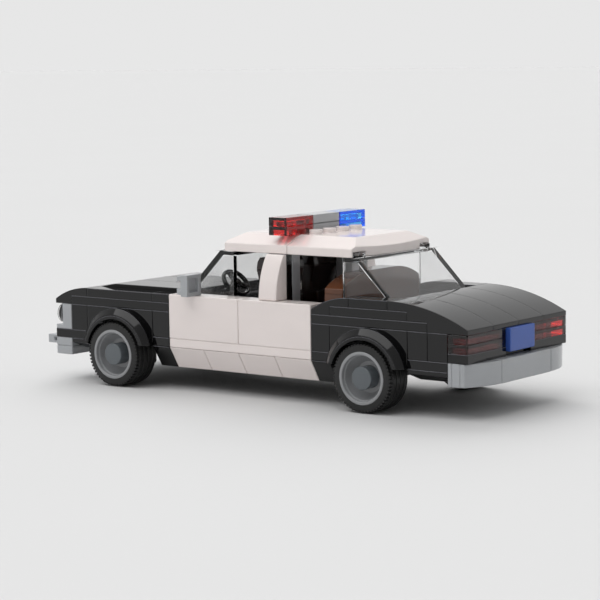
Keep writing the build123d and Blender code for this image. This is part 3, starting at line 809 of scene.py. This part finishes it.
class PATROL_OT_wheels(CarOperator, bpy.types.Operator):
    """Build tyres with ribs and lugs and turned rims with hub caps"""

    bl_idname = "patrol.wheels"
    bl_label = "Wheels"
    nodes = ("front_axle", "rear_axle")
    steps = 128
    # Outline of a rim and of a hub cap: radius and distance outwards from the tyre's middle, millimetres
    rim_outline = (
        (2.35, -5.4), (9.1, -5.4), (9.1, 6.05), (8.95, 6.2), (8.15, 6.2), (8.0, 6.05),
        (7.85, 5.0), (7.55, 4.7), (7.3, 3.2), (6.7, 2.1), (5.6, 1.2), (5.4, 1.0), (2.35, 1.0),
    )
    cap_outline = ((0.01, 1.0), (4.0, 1.0), (4.0, 5.8), (3.85, 5.97), (3.3, 6.0), (0.01, 6.0))
    # Sizes of a tyre in millimetres, the depths below its tread
    bead_depth = 2.9
    inner_depth = 2.1  # top of the flat part of the inner side
    shoulder_depth = 0.6
    rib_chamfer = 0.12
    rib_foot = 0.15
    groove_slope = 0.08
    # Corners of a tyre's two sides: inwards from the flank and down from the top of that side
    inner_steps = ((0.0, 0.0), (0.1, -0.3))
    outer_steps = ((0.5, 0.0), (0.1, 0.3), (0.0, 0.6))
    # Rows of lugs: side, tilt in degrees and how far the lugs' middle lies below the tread
    lug_rows = ((1.0, 9.0, 0.62), (-1.0, 36.0, 1.4))
    lug_height = 0.9
    lug_share = 0.58  # of the step from lug to lug
    lug_overlap = 0.2  # beyond the width of the shoulder
    lug_inset = 0.12  # from the flank

    def tyre_outline(self, sizes, radius, half):
        """Slanted inner side, ribs and flat outer side of a tyre, from the inside outwards."""
        bead, inner_top = radius - self.bead_depth, radius - self.inner_depth
        base = radius - self.shoulder_depth
        chamfer, slope = self.rib_chamfer, self.groove_slope
        groove, floor = sizes.groove_width / MM, radius - sizes.groove_depth / MM
        tread = half - sizes.shoulder / MM
        rib = (2 * tread - (sizes.ribs - 1) * groove) / sizes.ribs
        outline = [(bead, -half)]
        outline += [(inner_top - down, inwards - half) for inwards, down in self.inner_steps]
        outline += [(base, -tread - self.rib_foot)]
        start = -tread
        for n in range(sizes.ribs):
            outline += [(radius - chamfer, start), (radius, start + chamfer)]
            outline += [(radius, start + rib - chamfer), (radius - chamfer, start + rib)]
            start += rib + groove
            if n < sizes.ribs - 1:
                outline += [(floor, start - groove + slope), (floor, start - slope)]
        outline += [(base, tread + self.rib_foot)]
        outline += [(base - down, half - inwards) for inwards, down in self.outer_steps]
        return [*outline, (bead, half)]

    def add_detail(self, sizes):
        tree = lug_tree()
        for end in ("front", "rear"):
            low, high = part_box(f"{end}_tyre_left")
            middle = (low + high) / 2
            half = (high.y - low.y) / 2 / MM
            radius = (high.z - low.z) / 2 / MM
            for side, sign in (("left", 1.0), ("right", -1.0)):
                place = mirrored_at((middle.x, sign * middle.y, middle.z), sign)
                bm = bmesh.new()
                lathe(bm, self.tyre_outline(sizes, radius, half), self.steps, place)
                self.add_lugs(bm, tree, sizes, radius, half, place)
                name = f"{end}_tyre_{side}"
                new_piece(f"ribbed_{name}", mesh_from(bm, name), name)
            for part, outline in (("rims", self.rim_outline), ("hub_caps", self.cap_outline)):
                bm = bmesh.new()
                for sign in (1.0, -1.0):
                    lathe(bm, outline, self.steps, mirrored_at((middle.x, sign * middle.y, middle.z), sign))
                name = f"{end}_{part}"
                new_piece(f"turned_{name}", mesh_from(bm, name), name)

    def add_lugs(self, bm, tree, sizes, radius, half, place):
        """Two rows of lugs by the geometry tree, half a step apart."""
        long = math.tau * radius / sizes.lugs * self.lug_share
        wide = sizes.shoulder / MM + self.lug_overlap
        stand = Matrix.Rotation(math.radians(90.0), 4, "X")
        for row, (sign, tilt, below) in enumerate(self.lug_rows):
            values = {
                "Count": sizes.lugs,
                "Radius": (radius - below) * MM,
                "Size": Vector((self.lug_height, long, wide)) * MM,
                "Tilt": math.radians(tilt) * sign,
                "Shift": row * math.pi / sizes.lugs,
                "Material": material_of("tyre"),
            }
            out = Matrix.Translation((0.0, sign * (half - wide / 2 - self.lug_inset) * MM, 0.0))
            move_mesh(bm, grown_mesh(tree, values, place @ out @ stand))


class PATROL_OT_stage(bpy.types.Operator):
    """Set the floor, backdrop, light and camera of the photograph"""

    bl_idname = "patrol.stage"
    bl_label = "Stage"
    bl_options = {"REGISTER", "UNDO"}

    def execute(self, context):
        stage = context.scene.patrol_stage
        self.add_floor(stage)
        self.add_light(stage)
        self.add_camera(context.scene, stage)
        context.scene.view_settings.view_transform = "Standard"
        return {"FINISHED"}

    def add_floor(self, stage):
        """Wide pale floor with a faint mottle."""
        bm = bmesh.new()
        bmesh.ops.create_grid(bm, x_segments=8, y_segments=8, size=stage.floor_half)
        mesh_data = bpy.data.meshes.new("floor")
        bm.to_mesh(mesh_data)
        bm.free()
        material, nodes, place = new_material("stage_floor")
        mottle = nodes.noise(place, scale=6.0, detail=2.0)
        shade = nodes.tinted((stage.floor,) * 3, nodes.between(mottle, 0.997, 1.003))
        set_surface(nodes, nodes.add("ShaderNodeBsdfDiffuse", {"Color": shade}))
        mesh_data.materials.append(material)
        floor = bpy.data.objects.new("stage_floor", mesh_data)
        bpy.context.scene.collection.objects.link(floor)

    def add_light(self, stage):
        """Pale surroundings with a soft light overhead, and a wide lamp that no gloss shows."""
        world = bpy.data.worlds.new("stage_world")
        world.use_nodes = True
        bpy.context.scene.world = world
        nodes = NodeTree(world.node_tree)
        direction = nodes.add("ShaderNodeTexCoord").outputs["Generated"]
        part = nodes.add("ShaderNodeSeparateXYZ", {"Vector": direction}).outputs
        behind = nodes.compute("MULTIPLY", nodes.compute("MINIMUM", part["X"], 0.0), stage.rear)
        right = nodes.compute("MAXIMUM", nodes.compute("MULTIPLY", part["Y"], -1.0), 0.0)
        sideways = nodes.compute("MINIMUM", right, stage.side_limit)
        beside = nodes.compute("MULTIPLY", sideways, stage.sides)
        above = nodes.compute("MULTIPLY", nodes.compute("MAXIMUM", part["Z"], 0.0), -stage.top)
        change = nodes.compute("ADD", nodes.compute("ADD", behind, beside), nodes.compute("ADD", above, 1.0))
        around = nodes.compute("MULTIPLY", change, stage.backdrop)
        inside = nodes.compute("MULTIPLY", nodes.compute("GREATER_THAN", part["Z"], 0.0), stage.soft)
        for axis, low, high in zip("XY", stage.soft_low, stage.soft_high):
            over_low = nodes.compute("GREATER_THAN", part[axis], nodes.compute("MULTIPLY", part["Z"], low))
            under_high = nodes.compute("LESS_THAN", part[axis], nodes.compute("MULTIPLY", part["Z"], high))
            inside = nodes.compute("MULTIPLY", inside, nodes.compute("MULTIPLY", over_low, under_high))
        strength = nodes.compute("ADD", inside, around)
        shader = nodes.add("ShaderNodeBackground", {"Color": (1.0, 1.0, 1.0, 1.0), "Strength": strength})
        nodes.add("ShaderNodeOutputWorld", {"Surface": shader.outputs["Background"]})

        data = bpy.data.lights.new("stage_lamp", "SUN")
        data.energy, data.angle = stage.lamp, stage.lamp_angle
        lamp = bpy.data.objects.new("stage_lamp", data)
        lamp.rotation_euler = Vector(stage.lamp_from).to_track_quat("Z", "Y").to_euler()
        lamp.visible_glossy = False
        bpy.context.scene.collection.objects.link(lamp)

    def add_camera(self, scene, stage):
        """Camera of the photograph."""
        flat = math.cos(stage.elevation)
        sideways = (-math.sin(stage.azimuth) * flat, math.cos(stage.azimuth) * flat)
        back = Vector((*sideways, math.sin(stage.elevation)))
        right = Vector((0.0, 0.0, 1.0)).cross(back).normalized()
        up = back.cross(right)
        turned = math.cos(stage.roll) * right + math.sin(stage.roll) * up
        upright = math.cos(stage.roll) * up - math.sin(stage.roll) * right
        data = bpy.data.cameras.new("camera")
        data.sensor_width = stage.sensor
        data.lens = stage.lens
        data.clip_start, data.clip_end = 0.01, 50.0
        camera = bpy.data.objects.new("camera", data)
        axes = Matrix((turned, upright, back)).transposed().to_4x4()
        camera.matrix_world = Matrix.Translation(Vector(stage.target) + stage.distance * back) @ axes
        scene.collection.objects.link(camera)
        scene.camera = camera


OPERATORS = (
    PATROL_OT_floor, PATROL_OT_sides, PATROL_OT_front, PATROL_OT_cabin, PATROL_OT_rear, PATROL_OT_lamps,
    PATROL_OT_wheels, PATROL_OT_stage,
)


class PATROL_PT_panel(bpy.types.Panel):
    """Steps that dress the car"""

    bl_idname = "PATROL_PT_panel"
    bl_label = "Patrol car"
    bl_space_type = "VIEW_3D"
    bl_region_type = "UI"
    bl_category = "Patrol car"

    def draw(self, context):
        for operator in OPERATORS:
            self.layout.operator(operator.bl_idname)


GROUPS = {"patrol_colours": PatrolColours, "patrol_sizes": PatrolSizes, "patrol_stage": PatrolStage}
CLASSES = (*GROUPS.values(), *OPERATORS, PATROL_PT_panel)


def register():
    for made in CLASSES:
        bpy.utils.register_class(made)
    for name, group in GROUPS.items():
        setattr(bpy.types.Scene, name, PointerProperty(type=group))


def unregister():
    for name in GROUPS:
        delattr(bpy.types.Scene, name)
    for made in reversed(CLASSES):
        bpy.utils.unregister_class(made)


def main():
    register()
    for operator in OPERATORS:
        area, action = operator.bl_idname.split(".")
        getattr(getattr(bpy.ops, area), action)()


if __name__ == "__main__":
    main()
